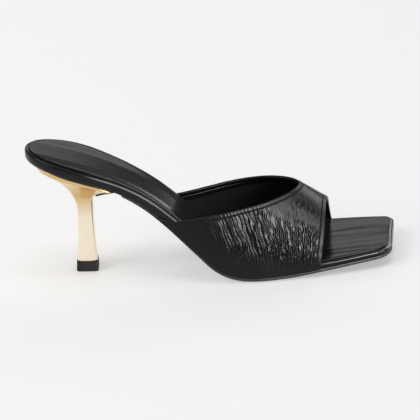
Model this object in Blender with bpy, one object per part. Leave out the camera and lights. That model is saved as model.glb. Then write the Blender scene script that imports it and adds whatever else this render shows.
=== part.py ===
"""Heeled mule, right shoe: open-toe vamp on a thin sole with a flared heel.

Lengths are millimetres until a vertex is made. x runs from the back of the heel to the toe,
y from the lateral side to the medial side, z up from the floor.
"""

import math
from bisect import bisect_right
from collections import namedtuple

import bmesh
import bpy

MM = 0.001

# Overall size, the gap left between neighbouring pieces, and the row frame's origin
LENGTH = 239.0
GAP = 0.3
TOE_IN_TURN = -5.5
ORIGIN_X = 121.2
ORIGIN_Y = -0.7

# Plan: rounded heel, and a square toe cut on the slant
HEEL_ROUND = 34.0
TOE_MIDDLE = 236.0
TOE_SKEW = 3.2
SKEW_START = 180.0
LATERAL_CORNER = 12.0
MEDIAL_CORNER = 6.0

# Vamp
WALL = 1.8
WALL_GAP = 0.5
TUCK = 0.9
TUCK_HEIGHT = 5.0
TUCK_START = 92.0
TUCK_END = 125.0
ARCH_POWER = 1.65
COLLAR_THROAT_X = 173.0
COLLAR_THROAT_Z = 50.4
COLLAR_SLOPE = 7.9
COLLAR_TAIL_X = 96.0
COLLAR_TAIL_RISE = 0.024
WING_START = 82.0
FRONT_LATERAL = 182.6
FRONT_MEDIAL = 199.0
COLLAR_STEPS = 15
LENGTH_STEPS = 13

# Sock lining
SOCK_THICK = 0.9
SOCK_INSET = 2.4

# Heel and top piece
HEEL_MIDDLE = 36.0
SEAT_BACK = 6.5
SEAT_FRONT = 57.5
SEAT_HALF = 25.2
SEAT_BACK_POWER = 2.2
SEAT_FRONT_POWER = 5.0
NECK_BACK_Z = 39.0
NECK_FRONT_Z = 48.0
FLARE_UPS = (0.0, 0.12, 0.24, 0.36, 0.48, 0.6, 0.7, 0.8, 0.88, 0.94, 1.0)
FLARE_POWER = 2.2
RIM_SHARE = 0.92
HEEL_POINTS = 20
TOP_PIECE_HIGH = 6.6
TOP_PIECE_POWER = 8.0

# Flap of the outsole over the heel's breast
FLAP_THICK = 1.3
FLAP_SHARE = 0.68
FLAP_LONG = 16.0
FLAP_HALF = 4.5
FLAP_STEPS = 6
FLAP_OVER = 0.9
FLAP_SHOULDER = 15.5
SOLE_START = 59.5

Bend = namedtuple("Bend", "x slope")
Station = namedtuple("Station", "x lateral medial")
Layer = namedtuple("Layer", "x insole outsole margin")
Section = namedtuple("Section", "x ridge_z ridge_y")
Stem = namedtuple("Stem", "z back front half power")
Run = namedtuple("Run", "start step count")
Edge = namedtuple("Edge", "inset share")
Lift = namedtuple("Lift", "z grow")

# The bed under the foot: slope in degrees, down towards the toe, with arcs between unequal slopes
BED = (
    Bend(x=0.0, slope=13.0),
    Bend(x=28.0, slope=15.5),
    Bend(x=57.0, slope=24.5),
    Bend(x=86.0, slope=41.0),
    Bend(x=103.0, slope=46.5),
    Bend(x=117.1, slope=46.5),
    Bend(x=140.0, slope=0.0),
    Bend(x=150.0, slope=0.0),
    Bend(x=168.0, slope=-5.5),
    Bend(x=190.0, slope=-5.0),
    Bend(x=LENGTH, slope=-2.0),
)
TREAD = 6
TREAD_HEIGHT = 6.0

# Distances of the insole's two edges from the heel's axis
OUTLINE = (
    Station(x=0.0, lateral=26.0, medial=26.0),
    Station(x=36.0, lateral=26.0, medial=26.0),
    Station(x=57.0, lateral=23.4, medial=23.4),
    Station(x=70.0, lateral=22.2, medial=22.4),
    Station(x=82.0, lateral=21.6, medial=23.4),
    Station(x=95.0, lateral=21.2, medial=25.6),
    Station(x=105.0, lateral=22.0, medial=29.5),
    Station(x=115.0, lateral=23.7, medial=35.0),
    Station(x=127.0, lateral=25.0, medial=42.3),
    Station(x=142.0, lateral=25.0, medial=49.0),
    Station(x=160.0, lateral=22.3, medial=52.8),
    Station(x=180.0, lateral=18.9, medial=53.4),
    Station(x=200.0, lateral=14.6, medial=52.2),
    Station(x=LENGTH, lateral=2.6, medial=49.6),
)

# Thickness of the two sole layers, and how far the outsole stands out past the insole
LAYERS = (
    Layer(x=0.0, insole=7.0, outsole=1.4, margin=-4.0),
    Layer(x=28.0, insole=6.4, outsole=1.4, margin=-4.0),
    Layer(x=57.0, insole=6.0, outsole=1.4, margin=-3.5),
    Layer(x=75.0, insole=6.4, outsole=1.4, margin=-3.0),
    Layer(x=92.0, insole=6.6, outsole=1.6, margin=-2.0),
    Layer(x=114.0, insole=4.8, outsole=2.1, margin=0.0),
    Layer(x=135.0, insole=3.2, outsole=2.5, margin=1.2),
    Layer(x=165.0, insole=3.2, outsole=2.5, margin=1.2),
    Layer(x=200.0, insole=2.9, outsole=2.3, margin=0.4),
    Layer(x=LENGTH, insole=2.7, outsole=2.2, margin=0.2),
)

# Last sections of the vamp: the top of the ridge
SECTIONS = (
    Section(x=80.0, ridge_z=88.0, ridge_y=1.0),
    Section(x=110.0, ridge_z=79.0, ridge_y=5.0),
    Section(x=125.0, ridge_z=73.5, ridge_y=8.0),
    Section(x=140.0, ridge_z=67.5, ridge_y=11.0),
    Section(x=152.0, ridge_z=62.2, ridge_y=13.0),
    Section(x=173.0, ridge_z=50.4, ridge_y=16.0),
    Section(x=191.0, ridge_z=38.4, ridge_y=19.0),
    Section(x=200.0, ridge_z=32.8, ridge_y=20.0),
)

# Places along the sole where sections are taken: degrees round the heel and the toe's corner,
# and evenly spaced runs between them, closest at the ball
HEEL_DEGREES = (7, 20, 34, 48, 62, 76)
TOE_DEGREES = (0, 22, 44, 66, 90)
RUNS = (
    Run(start=27.0, step=6.3, count=15),
    Run(start=119.0, step=3.6, count=10),
    Run(start=157.0, step=9.0, count=7),
)

# Edge shapes from the underside (share 0) to the top (share 1), as insets from the outline
INSOLE_EDGE = (
    Edge(inset=2.0, share=0.0),
    Edge(inset=0.6, share=0.14),
    Edge(inset=0.0, share=0.5),
    Edge(inset=0.5, share=0.88),
    Edge(inset=1.5, share=1.0),
)
SOCK_EDGE = (
    Edge(inset=0.0, share=0.0),
    Edge(inset=0.0, share=0.6),
    Edge(inset=0.8, share=1.0),
)
OUTSOLE_EDGE = (
    Edge(inset=0.9, share=0.0),
    Edge(inset=0.0, share=0.4),
    Edge(inset=0.0, share=1.0),
)

# Heel stem from its foot to its neck
STEM = (
    Stem(z=TOP_PIECE_HIGH + GAP, back=30.2, front=43.4, half=6.4, power=5.0),
    Stem(z=20.0, back=31.2, front=42.4, half=6.1, power=5.0),
    Stem(z=NECK_BACK_Z, back=31.5, front=41.3, half=6.0, power=5.0),
)

# Top piece from the floor up, as growth from the stem's foot
TOP_PIECE = (
    Lift(z=0.0, grow=-0.2),
    Lift(z=0.6, grow=0.4),
    Lift(z=TOP_PIECE_HIGH, grow=0.2),
)


def smooth(rows, x, column):
    """Value at x of a table's column, by a cubic that keeps level stretches level."""
    xs = [row.x for row in rows]
    values = [getattr(row, column) for row in rows]
    x = min(max(x, xs[0]), xs[-1])
    i = min(bisect_right(xs, x), len(xs) - 1) - 1
    chords = [
        (values[k + 1] - values[k]) / (xs[k + 1] - xs[k]) for k in range(len(xs) - 1)
    ]

    def tangent(k):
        if k == 0 or k == len(xs) - 1:
            return chords[min(k, len(chords) - 1)]
        before, after = chords[k - 1], chords[k]
        if before * after <= 0:
            return 0.0
        return 2 * before * after / (before + after)

    span = xs[i + 1] - xs[i]
    t = (x - xs[i]) / span
    rise = t * t * (3 - 2 * t)
    start = t * (1 - t) ** 2 * span * tangent(i)
    end = t * t * (t - 1) * span * tangent(i + 1)
    return values[i] + (values[i + 1] - values[i]) * rise + start + end


def ease(t):
    t = min(max(t, 0.0), 1.0)
    return t * t * (3 - 2 * t)


def run(i, x):
    """Fall and slope of the bed at x, counted from bend i on the straight or arc that follows it."""
    start = math.sin(math.radians(BED[i].slope))
    end = math.sin(math.radians(BED[i + 1].slope))
    rate = (end - start) / (BED[i + 1].x - BED[i].x)
    slope = math.asin(start + rate * (x - BED[i].x))
    if rate == 0.0:
        return math.tan(slope) * (x - BED[i].x), slope
    return (math.cos(math.asin(start)) - math.cos(slope)) / rate, slope


def bend_heights():
    heights = {TREAD: TREAD_HEIGHT}
    for i in range(TREAD - 1, -1, -1):
        heights[i] = heights[i + 1] + run(i, BED[i + 1].x)[0]
    for i in range(TREAD, len(BED) - 1):
        heights[i + 1] = heights[i] - run(i, BED[i + 1].x)[0]
    return heights


BED_Z = bend_heights()


def bed(x):
    """Height and slope of the bed at x."""
    x = min(max(x, BED[0].x), BED[-1].x)
    i = min(bisect_right([bend.x for bend in BED], x), len(BED) - 1) - 1
    fall, slope = run(i, x)
    return BED_Z[i] - fall, slope


def level(x, h):
    """Height at x of the surface that lies h above the bed, square to it."""
    foot = x
    for _ in range(5):
        foot = x - h * math.sin(bed(foot)[1])
    z, slope = bed(foot)
    return z + h * math.cos(slope) + min(foot, 0.0) * -math.tan(slope)


def insole_under(x):
    return -smooth(LAYERS, x, "insole")


def outsole_under(x):
    return insole_under(x) - GAP - smooth(LAYERS, x, "outsole")


def edge(s, side):
    """Plan point of the insole's edge at station s, lateral (-1) or medial (1)."""
    column, corner = ("medial", MEDIAL_CORNER) if side > 0 else ("lateral", LATERAL_CORNER)
    half = smooth(OUTLINE, s, column)
    if s < HEEL_ROUND:
        half *= math.sqrt(1 - (1 - s / HEEL_ROUND) ** 2)
    into = s - (TOE_MIDDLE - corner)
    if into > 0:
        half -= corner - math.sqrt(max(corner**2 - into**2, 0.0))
    skew = TOE_SKEW * ease((s - SKEW_START) / (TOE_MIDDLE - SKEW_START))
    return s + side * skew, side * half


def stations():
    """Places along the sole, from the round heel to the toe's corners."""
    heel = [HEEL_ROUND * (1 - math.cos(math.radians(a))) for a in HEEL_DEGREES]
    middle = [row.start + row.step * i for row in RUNS for i in range(row.count)]
    corner = TOE_MIDDLE - LATERAL_CORNER
    toe = [corner + LATERAL_CORNER * math.sin(math.radians(a)) for a in TOE_DEGREES]
    return heel + middle + toe


def plan_loop(places):
    """Closed plan loop: lateral edge from heel to toe, then medial edge back."""
    return [edge(s, -1) for s in places] + [edge(s, 1) for s in reversed(places)]


def set_in(loop, inset):
    """The loop moved inwards in plan by a distance, or by a function of x."""
    moved = []
    count = len(loop)
    for i, (x, y) in enumerate(loop):
        ax, ay = loop[i - 1]
        bx, by = loop[(i + 1) % count]
        first = math.hypot(x - ax, y - ay)
        second = math.hypot(bx - x, by - y)
        tx = (x - ax) / first + (bx - x) / second
        ty = (y - ay) / first + (by - y) / second
        size = math.hypot(tx, ty)
        cosine = size / 2
        amount = (inset(x) if callable(inset) else inset) / cosine
        moved.append((x - ty / size * amount, y + tx / size * amount))
    return moved


def material(name, color, metallic, roughness):
    made = bpy.data.materials.new(name)
    made.use_nodes = True
    shader = made.node_tree.nodes["Principled BSDF"]
    shader.inputs["Base Color"].default_value = (*color, 1.0)
    shader.inputs["Metallic"].default_value = metallic
    shader.inputs["Roughness"].default_value = roughness
    made.diffuse_color = (*color, 1.0)
    return made


def vertex(bm, x, y, z):
    """A vertex in the row frame, turned so that the toe lies straight ahead of the heel."""
    turn = math.radians(TOE_IN_TURN)
    ahead = x * math.cos(turn) - y * math.sin(turn)
    across = x * math.sin(turn) + y * math.cos(turn)
    return bm.verts.new(((ahead - ORIGIN_X) * MM, (across - ORIGIN_Y) * MM, z * MM))


def to_object(bm, name, surface):
    mesh = bpy.data.meshes.new(name)
    bm.to_mesh(mesh)
    bm.free()
    made = bpy.data.objects.new(name, mesh)
    bpy.context.collection.objects.link(made)
    mesh.materials.append(surface)
    return made


def stack(name, rings, surface):
    """Closed solid through rings of equal count, with caps ruled from side to side."""
    bm = bmesh.new()
    made = [[vertex(bm, *point) for point in ring] for ring in rings]
    count = len(made[0])
    for lower, upper in zip(made, made[1:]):
        for i in range(count):
            j = (i + 1) % count
            bm.faces.new((lower[i], lower[j], upper[j], upper[i]))
    bottom, top = made[0], made[-1]
    for i in range(count // 2 - 1):
        j = count - 2 - i
        bm.faces.new((top[i], top[i + 1], top[j], top[j + 1]))
        bm.faces.new((bottom[i], bottom[j + 1], bottom[j], bottom[i + 1]))
    return to_object(bm, name, surface)


def between(low, high, share):
    return low + (high - low) * share


def build_insole(surface):
    loop = plan_loop(stations())
    rings = []
    for inset, share in INSOLE_EDGE:
        ring = set_in(loop, inset)
        rings.append([(x, y, level(x, insole_under(x) * (1 - share))) for x, y in ring])
    return stack("insole", rings, surface)


def build_sock(surface):
    loop = plan_loop(stations())
    rings = []
    for inset, share in SOCK_EDGE:
        ring = set_in(loop, SOCK_INSET + inset)
        rings.append([(x, y, level(x, GAP + SOCK_THICK * share)) for x, y in ring])
    return stack("sock_lining", rings, surface)


def seat_z(x):
    return level(x, insole_under(x) - GAP)


def breast(t):
    """Point on the heel's front in the side view, t from the neck (0) to the seat (1)."""
    x = between(STEM[-1].front, SEAT_FRONT, t**FLARE_POWER)
    return x, between(NECK_FRONT_Z, seat_z(SEAT_FRONT), t)


def breast_offset(t, away):
    """Point that stands off the heel's front by a distance."""
    step = 0.001
    ax, az = breast(t - step)
    bx, bz = breast(t)
    size = math.hypot(bx - ax, bz - az)
    return bx + (bz - az) / size * away, bz - (bx - ax) / size * away


def outsole_point(x, y, share):
    """Outsole point: under the insole, and on the heel's breast behind the seat's front edge."""
    under = insole_under(x) - GAP
    if x >= SEAT_FRONT:
        return x, y, level(x, between(outsole_under(x), under, share))
    t = 1 - FLAP_SHARE * (SEAT_FRONT - x) / FLAP_LONG
    along, z = breast_offset(t, GAP + FLAP_THICK * (1 - share))
    return along, y, z


def outsole_inset(x):
    return -smooth(LAYERS, x, "margin")


def build_outsole(surface):
    places = [s for s in stations() if s > SOLE_START]
    loop = set_in(plan_loop(stations()), outsole_inset)
    full = len(stations())
    skip = full - len(places)
    lateral = loop[skip:full]
    medial = loop[full : 2 * full - skip]
    lap = []
    for step in range(FLAP_STEPS + 1):
        share = step / FLAP_STEPS
        x = between(SEAT_FRONT - FLAP_LONG, SEAT_FRONT + FLAP_OVER, share)
        lap.append((x, between(FLAP_HALF, FLAP_SHOULDER, share)))
    first = [(x, -half) for x, half in lap]
    last = [(x, half) for x, half in reversed(lap)]
    loop = first + lateral + medial + last
    rings = []
    for inset, share in OUTSOLE_EDGE:
        ring = set_in(loop, inset)
        rings.append([outsole_point(x, y, share) for x, y in ring])
    return stack("outsole", rings, surface)


def heel_loop(back, front, half, power, back_power):
    """Plan loop of the heel: points from the back along the lateral side, then the medial side."""
    loop = []
    for side in (-1, 1):
        half_loop = []
        for i in range(HEEL_POINTS):
            angle = math.pi * (1 - (i + 0.5) / HEEL_POINTS)
            c, s = math.cos(angle), math.sin(angle)
            used = back_power if c < 0 else power
            along = (front - HEEL_MIDDLE) if c > 0 else (HEEL_MIDDLE - back)
            x = HEEL_MIDDLE + math.copysign(abs(c) ** (2 / used), c) * along
            half_loop.append((x, side * half * s ** (2 / used)))
        loop += half_loop if side < 0 else half_loop[::-1]
    return loop


def build_heel(surface):
    rings = []
    for row in STEM[:-1]:
        loop = heel_loop(row.back, row.front, row.half, row.power, row.power)
        rings.append([(x, y, row.z) for x, y in loop])
    row = STEM[-1]
    neck = heel_loop(row.back, row.front, row.half, row.power, row.power)
    seat = heel_loop(SEAT_BACK, SEAT_FRONT, SEAT_HALF, SEAT_FRONT_POWER, SEAT_BACK_POWER)
    for up in FLARE_UPS:
        ring = []
        for (nx, ny), (sx, sy) in zip(neck, seat):
            forward = (nx - row.back) / (row.front - row.back)
            nz = between(NECK_BACK_Z, NECK_FRONT_Z, forward)
            z = between(nz, seat_z(sx), up)
            out = min(up / between(RIM_SHARE, 1.0, forward**2), 1.0) ** FLARE_POWER
            ring.append((between(nx, sx, out), between(ny, sy, out), z))
        rings.append(ring)
    return stack("heel", rings, surface)


def build_top_piece(surface):
    foot = STEM[0]
    rings = []
    for z, grow in TOP_PIECE:
        loop = heel_loop(
            foot.back - grow,
            foot.front + grow,
            foot.half + grow,
            TOP_PIECE_POWER,
            TOP_PIECE_POWER,
        )
        rings.append([(x, y, z) for x, y in loop])
    return stack("top_piece", rings, surface)


def collar_z(x):
    """Height of the collar's cut in the side view, with its tail curling up the shank."""
    line = COLLAR_THROAT_Z - (COLLAR_THROAT_X - x) * math.tan(math.radians(COLLAR_SLOPE))
    return line + COLLAR_TAIL_RISE * max(COLLAR_TAIL_X - x, 0.0) ** 2


def vamp_foot(x):
    return level(x, insole_under(x))


def vamp_point(x, angle):
    """Outer point of the vamp: section at x, angle 0 at the lateral foot and 180 degrees at the medial."""
    foot_z = vamp_foot(x)
    ridge_y = smooth(SECTIONS, x, "ridge_y")
    power = 2 / ARCH_POWER
    tuck = TUCK * ease((x - TUCK_START) / (TUCK_END - TUCK_START))
    stand = WALL_GAP + WALL + tuck
    c, s = math.cos(angle), math.sin(angle)
    if c > 0:
        reach = -(ridge_y + smooth(OUTLINE, x, "lateral") + stand)
    else:
        reach = smooth(OUTLINE, x, "medial") + stand - ridge_y
    z = foot_z + (smooth(SECTIONS, x, "ridge_z") - foot_z) * s**power
    tuck *= 1 - ease((z - foot_z) / TUCK_HEIGHT)
    return x, ridge_y + (reach - math.copysign(tuck, reach)) * abs(c) ** power, z


def build_upper(surface):
    columns = []
    for i in range(COLLAR_STEPS + 1):
        x = between(WING_START, COLLAR_THROAT_X, math.sin(math.pi / 2 * i / COLLAR_STEPS))
        foot_z = vamp_foot(x)
        high = (collar_z(x) - foot_z) / (smooth(SECTIONS, x, "ridge_z") - foot_z)
        columns.append((x, math.asin(min(max(high, 0.0), 1.0) ** (ARCH_POWER / 2))))
    columns[0] = (columns[0][0], 0.0)
    columns += [(x, math.pi - angle) for x, angle in reversed(columns[:-1])]
    bm = bmesh.new()
    rows = []
    for x, angle in columns:
        front = between(FRONT_LATERAL, FRONT_MEDIAL, angle / math.pi)
        line = []
        for step in range(LENGTH_STEPS + 1):
            line.append(vertex(bm, *vamp_point(between(x, front, step / LENGTH_STEPS), angle)))
        rows.append(line)
    for first, second in zip(rows, rows[1:]):
        for i in range(LENGTH_STEPS):
            bm.faces.new((first[i], first[i + 1], second[i + 1], second[i]))
    made = to_object(bm, "upper", surface)
    wall = made.modifiers.new("wall", "SOLIDIFY")
    wall.thickness = WALL * MM
    wall.offset = -1.0
    wall.use_even_offset = True
    return made


for old in list(bpy.data.objects):
    bpy.data.objects.remove(old)

build_outsole(material("outsole_black", (0.012, 0.012, 0.013), 0.0, 0.5))
build_insole(material("band_patent", (0.010, 0.010, 0.011), 0.0, 0.2))
build_sock(material("sock_satin", (0.035, 0.035, 0.036), 0.0, 0.5))
build_upper(material("upper_patent", (0.008, 0.008, 0.009), 0.0, 0.2))
build_heel(material("heel_gold", (0.78, 0.55, 0.27), 1.0, 0.2))
build_top_piece(material("lift_rubber", (0.018, 0.018, 0.019), 0.0, 0.6))
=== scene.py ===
# %% [markdown]
# # A heeled mule, dressed over its solids
# The shoe is a right mule: a one-piece vamp of crinkled patent leather, a wrapped insole with a satin
# sock, a thin outsole and a flared gold heel on a rubber top piece. The solids give the place and the
# size of every piece. This lesson gives each piece its real surface, and it starts by loading them.

# %% Load the solids
import math
from bisect import bisect_right
from collections import namedtuple

import bmesh
import bpy
from mathutils import Matrix, Vector
from mathutils.kdtree import KDTree


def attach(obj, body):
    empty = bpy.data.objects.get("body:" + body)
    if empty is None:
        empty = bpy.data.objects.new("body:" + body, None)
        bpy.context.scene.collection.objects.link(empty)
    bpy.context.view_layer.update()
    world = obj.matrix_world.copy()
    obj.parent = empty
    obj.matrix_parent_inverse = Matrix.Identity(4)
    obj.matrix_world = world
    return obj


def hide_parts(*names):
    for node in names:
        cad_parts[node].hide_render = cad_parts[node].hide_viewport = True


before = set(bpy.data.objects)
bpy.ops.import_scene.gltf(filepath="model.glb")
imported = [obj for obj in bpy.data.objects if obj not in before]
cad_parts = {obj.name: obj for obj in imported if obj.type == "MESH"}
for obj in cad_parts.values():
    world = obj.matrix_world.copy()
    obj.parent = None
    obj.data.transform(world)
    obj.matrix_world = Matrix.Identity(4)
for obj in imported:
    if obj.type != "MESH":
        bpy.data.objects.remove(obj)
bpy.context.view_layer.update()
print("solids:", ", ".join(sorted(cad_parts)))

# %% [markdown]
# ## The last
# A shoe is drawn over a last, the wooden foot that fixes its curves. A sculpted mesh could be fitted by
# eye, but tables of a few stations say the same in a form that can be read and changed. The tables below
# hold the curve of the footbed, its outline and its thickness, in millimetres, with x from the back of
# the heel to the toe, y towards the inner side and z up.

# %% Tables of the last
MM = 0.001
LENGTH = 239.0
TOE_IN = math.radians(-5.5)
ORIGIN_X, ORIGIN_Y = 121.2, -0.7
HEEL_ROUND = 34.0
TOE_MIDDLE, TOE_SKEW, SKEW_START = 236.0, 3.2, 180.0
LATERAL_CORNER, MEDIAL_CORNER = 12.0, 6.0

Bend = namedtuple("Bend", "x slope")
Station = namedtuple("Station", "x lateral medial")
Layer = namedtuple("Layer", "x insole outsole margin")
Section = namedtuple("Section", "x ridge_z ridge_y")

BED = (
    Bend(x=0.0, slope=13.0),
    Bend(x=28.0, slope=15.5),
    Bend(x=57.0, slope=24.5),
    Bend(x=86.0, slope=41.0),
    Bend(x=103.0, slope=46.5),
    Bend(x=117.1, slope=46.5),
    Bend(x=140.0, slope=0.0),
    Bend(x=150.0, slope=0.0),
    Bend(x=168.0, slope=-5.5),
    Bend(x=190.0, slope=-5.0),
    Bend(x=LENGTH, slope=-2.0),
)
TREAD, TREAD_HEIGHT = 6, 6.0

OUTLINE = (
    Station(x=0.0, lateral=26.0, medial=26.0),
    Station(x=36.0, lateral=26.0, medial=26.0),
    Station(x=57.0, lateral=23.4, medial=23.4),
    Station(x=70.0, lateral=22.2, medial=22.4),
    Station(x=82.0, lateral=21.6, medial=23.4),
    Station(x=95.0, lateral=21.2, medial=25.6),
    Station(x=105.0, lateral=22.0, medial=29.5),
    Station(x=115.0, lateral=23.7, medial=35.0),
    Station(x=127.0, lateral=25.0, medial=42.3),
    Station(x=142.0, lateral=25.0, medial=49.0),
    Station(x=160.0, lateral=22.3, medial=52.8),
    Station(x=180.0, lateral=18.9, medial=53.4),
    Station(x=200.0, lateral=14.6, medial=52.2),
    Station(x=LENGTH, lateral=2.6, medial=49.6),
)
LAYERS = (
    Layer(x=0.0, insole=7.0, outsole=1.4, margin=-4.0),
    Layer(x=28.0, insole=6.4, outsole=1.4, margin=-4.0),
    Layer(x=57.0, insole=6.0, outsole=1.4, margin=-3.5),
    Layer(x=75.0, insole=6.4, outsole=1.4, margin=-3.0),
    Layer(x=92.0, insole=6.6, outsole=1.6, margin=-2.0),
    Layer(x=114.0, insole=4.8, outsole=2.1, margin=0.0),
    Layer(x=135.0, insole=3.2, outsole=2.5, margin=1.2),
    Layer(x=165.0, insole=3.2, outsole=2.5, margin=1.2),
    Layer(x=200.0, insole=2.9, outsole=2.3, margin=0.4),
    Layer(x=LENGTH, insole=2.7, outsole=2.2, margin=0.2),
)
SECTIONS = (
    Section(x=80.0, ridge_z=88.0, ridge_y=1.0),
    Section(x=110.0, ridge_z=79.0, ridge_y=5.0),
    Section(x=125.0, ridge_z=73.5, ridge_y=8.0),
    Section(x=140.0, ridge_z=67.5, ridge_y=11.0),
    Section(x=152.0, ridge_z=62.2, ridge_y=13.0),
    Section(x=173.0, ridge_z=50.4, ridge_y=16.0),
    Section(x=191.0, ridge_z=38.4, ridge_y=19.0),
    Section(x=200.0, ridge_z=32.8, ridge_y=20.0),
)
print("last:", len(OUTLINE), "outline stations,", len(SECTIONS), "sections of the vamp")

# %% [markdown]
# The rows are joined by a cubic that never overshoots, so a straight stretch stays straight. A spline object
# would do it too, but a function can be asked for its value at any place along the shoe.

# %% Curves through the tables
def smooth(rows, x, column):
    xs = [row[0] for row in rows]
    values = [getattr(row, column) for row in rows]
    x = min(max(x, xs[0]), xs[-1])
    i = min(bisect_right(xs, x), len(xs) - 1) - 1
    chords = [(values[k + 1] - values[k]) / (xs[k + 1] - xs[k]) for k in range(len(xs) - 1)]

    def tangent(k):
        if k == 0 or k == len(xs) - 1:
            return chords[min(k, len(chords) - 1)]
        before, after = chords[k - 1], chords[k]
        return 2 * before * after / (before + after) if before * after > 0 else 0.0

    span = xs[i + 1] - xs[i]
    t = (x - xs[i]) / span
    rise = t * t * (3 - 2 * t)
    start = t * (1 - t) ** 2 * span * tangent(i)
    end = t * t * (t - 1) * span * tangent(i + 1)
    return values[i] + (values[i + 1] - values[i]) * rise + start + end


def ease(t):
    t = min(max(t, 0.0), 1.0)
    return t * t * (3 - 2 * t)


def between(low, high, share):
    return low + (high - low) * share


print("widest station:", round(max(row.lateral + row.medial for row in OUTLINE), 1), "mm")

# %% [markdown]
# The footbed falls from the heel to the ball and lifts a little at the toe. It is made of arcs that meet at
# equal slopes, which keeps every layer below it at an even thickness. The sine of the slope grows evenly
# along an arc, so the fall of the bed is known without tracing the curve.

# %% The curved bed
def arc(i, x):
    """Fall and slope of the bed at x, counted from bend i."""
    start = math.sin(math.radians(BED[i].slope))
    end = math.sin(math.radians(BED[i + 1].slope))
    rate = (end - start) / (BED[i + 1].x - BED[i].x)
    slope = math.asin(start + rate * (x - BED[i].x))
    if rate == 0.0:
        return math.tan(slope) * (x - BED[i].x), slope
    return (math.cos(math.asin(start)) - math.cos(slope)) / rate, slope


BED_Z = {TREAD: TREAD_HEIGHT}
for bend in range(TREAD - 1, -1, -1):
    BED_Z[bend] = BED_Z[bend + 1] + arc(bend, BED[bend + 1].x)[0]
for bend in range(TREAD, len(BED) - 1):
    BED_Z[bend + 1] = BED_Z[bend] - arc(bend, BED[bend + 1].x)[0]


def bed(x):
    """Height and slope of the footbed at x."""
    x = min(max(x, BED[0].x), BED[-1].x)
    i = min(bisect_right([row.x for row in BED], x), len(BED) - 1) - 1
    fall, slope = arc(i, x)
    return BED_Z[i] - fall, slope


def level(x, h):
    """Height at x of the surface that lies h above the bed, square to it."""
    foot = x
    for _ in range(5):
        foot = x - h * math.sin(bed(foot)[1])
    z, slope = bed(foot)
    return z + h * math.cos(slope) - min(foot, 0.0) * math.tan(slope)


print("bed height at the heel:", round(bed(0.0)[0], 1), "mm")

# %% [markdown]
# The last lies along its own axis, and the shoe stands turned in the shared frame, with the toe a little
# outwards. One function carries a point from the last to the frame, and a second one carries it back.

# %% Places in the shared frame
def placed(x, y, z):
    """A point of the last as a point of the shared frame, in metres."""
    ahead = x * math.cos(TOE_IN) - y * math.sin(TOE_IN)
    across = x * math.sin(TOE_IN) + y * math.cos(TOE_IN)
    return Vector((ahead - ORIGIN_X, across - ORIGIN_Y, z)) * MM


def on_last(point):
    """The reverse of placed, in millimetres."""
    ahead, across, z = point / MM
    ahead, across = ahead + ORIGIN_X, across + ORIGIN_Y
    x = ahead * math.cos(TOE_IN) + across * math.sin(TOE_IN)
    return x, across * math.cos(TOE_IN) - ahead * math.sin(TOE_IN), z


print("back of the heel at", [round(v, 4) for v in placed(0.0, 0.0, bed(0.0)[0])], "m")

# %% [markdown]
# ## The outline in plan
# Sole, insole and sock share one outline, set in or out by a few millimetres. Stations stand close
# together round the heel and at the toe's corners, where the outline turns.

# %% Plan outline
def edge_point(s, side):
    """Point of the insole's edge at station s, lateral (-1) or medial (1)."""
    column, corner = ("medial", MEDIAL_CORNER) if side > 0 else ("lateral", LATERAL_CORNER)
    half = smooth(OUTLINE, s, column)
    if s < HEEL_ROUND:
        half *= math.sqrt(1 - (1 - s / HEEL_ROUND) ** 2)
    into = s - (TOE_MIDDLE - corner)
    if into > 0:
        half -= corner - math.sqrt(max(corner**2 - into**2, 0.0))
    skew = TOE_SKEW * ease((s - SKEW_START) / (TOE_MIDDLE - SKEW_START))
    return s + side * skew, side * half


HEEL_STEPS, TOE_STEPS, STATION_STEP = 20, 12, 1.5
STATIONS = [HEEL_ROUND * (1 - math.cos(math.pi / 2 * (i + 0.7) / HEEL_STEPS)) for i in range(HEEL_STEPS)]
while STATIONS[-1] < TOE_MIDDLE - LATERAL_CORNER - STATION_STEP:
    STATIONS.append(STATIONS[-1] + STATION_STEP)
for i in range(TOE_STEPS + 1):
    STATIONS.append(TOE_MIDDLE - LATERAL_CORNER * (1 - math.sin(math.pi / 2 * i / TOE_STEPS)))
PLAN = [edge_point(s, -1) for s in STATIONS] + [edge_point(s, 1) for s in reversed(STATIONS)]


def set_in(loop, inset):
    """The loop moved inwards in plan by a distance, or by a function of x."""
    moved = []
    for i, (x, y) in enumerate(loop):
        ax, ay = loop[i - 1]
        bx, by = loop[(i + 1) % len(loop)]
        first, second = math.hypot(x - ax, y - ay), math.hypot(bx - x, by - y)
        tx = (x - ax) / first + (bx - x) / second
        ty = (y - ay) / first + (by - y) / second
        size = math.hypot(tx, ty)
        amount = (inset(x) if callable(inset) else inset) / (size / 2)
        moved.append((x - ty / size * amount, y + tx / size * amount))
    return moved


print("outline:", len(PLAN), "points")

# %% [markdown]
# ## Rings, lifted one from the other
# Soles, heel and top piece are all closed rings that grow upwards. A circle is made first, each of its
# vertices remembers its place in the ring, and every next ring is extruded from the last one and moved
# to where the shoe has it. The two ends are closed by bridging the lateral half of the ring to the medial
# half, so the end faces follow the curve of the bed.

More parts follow.
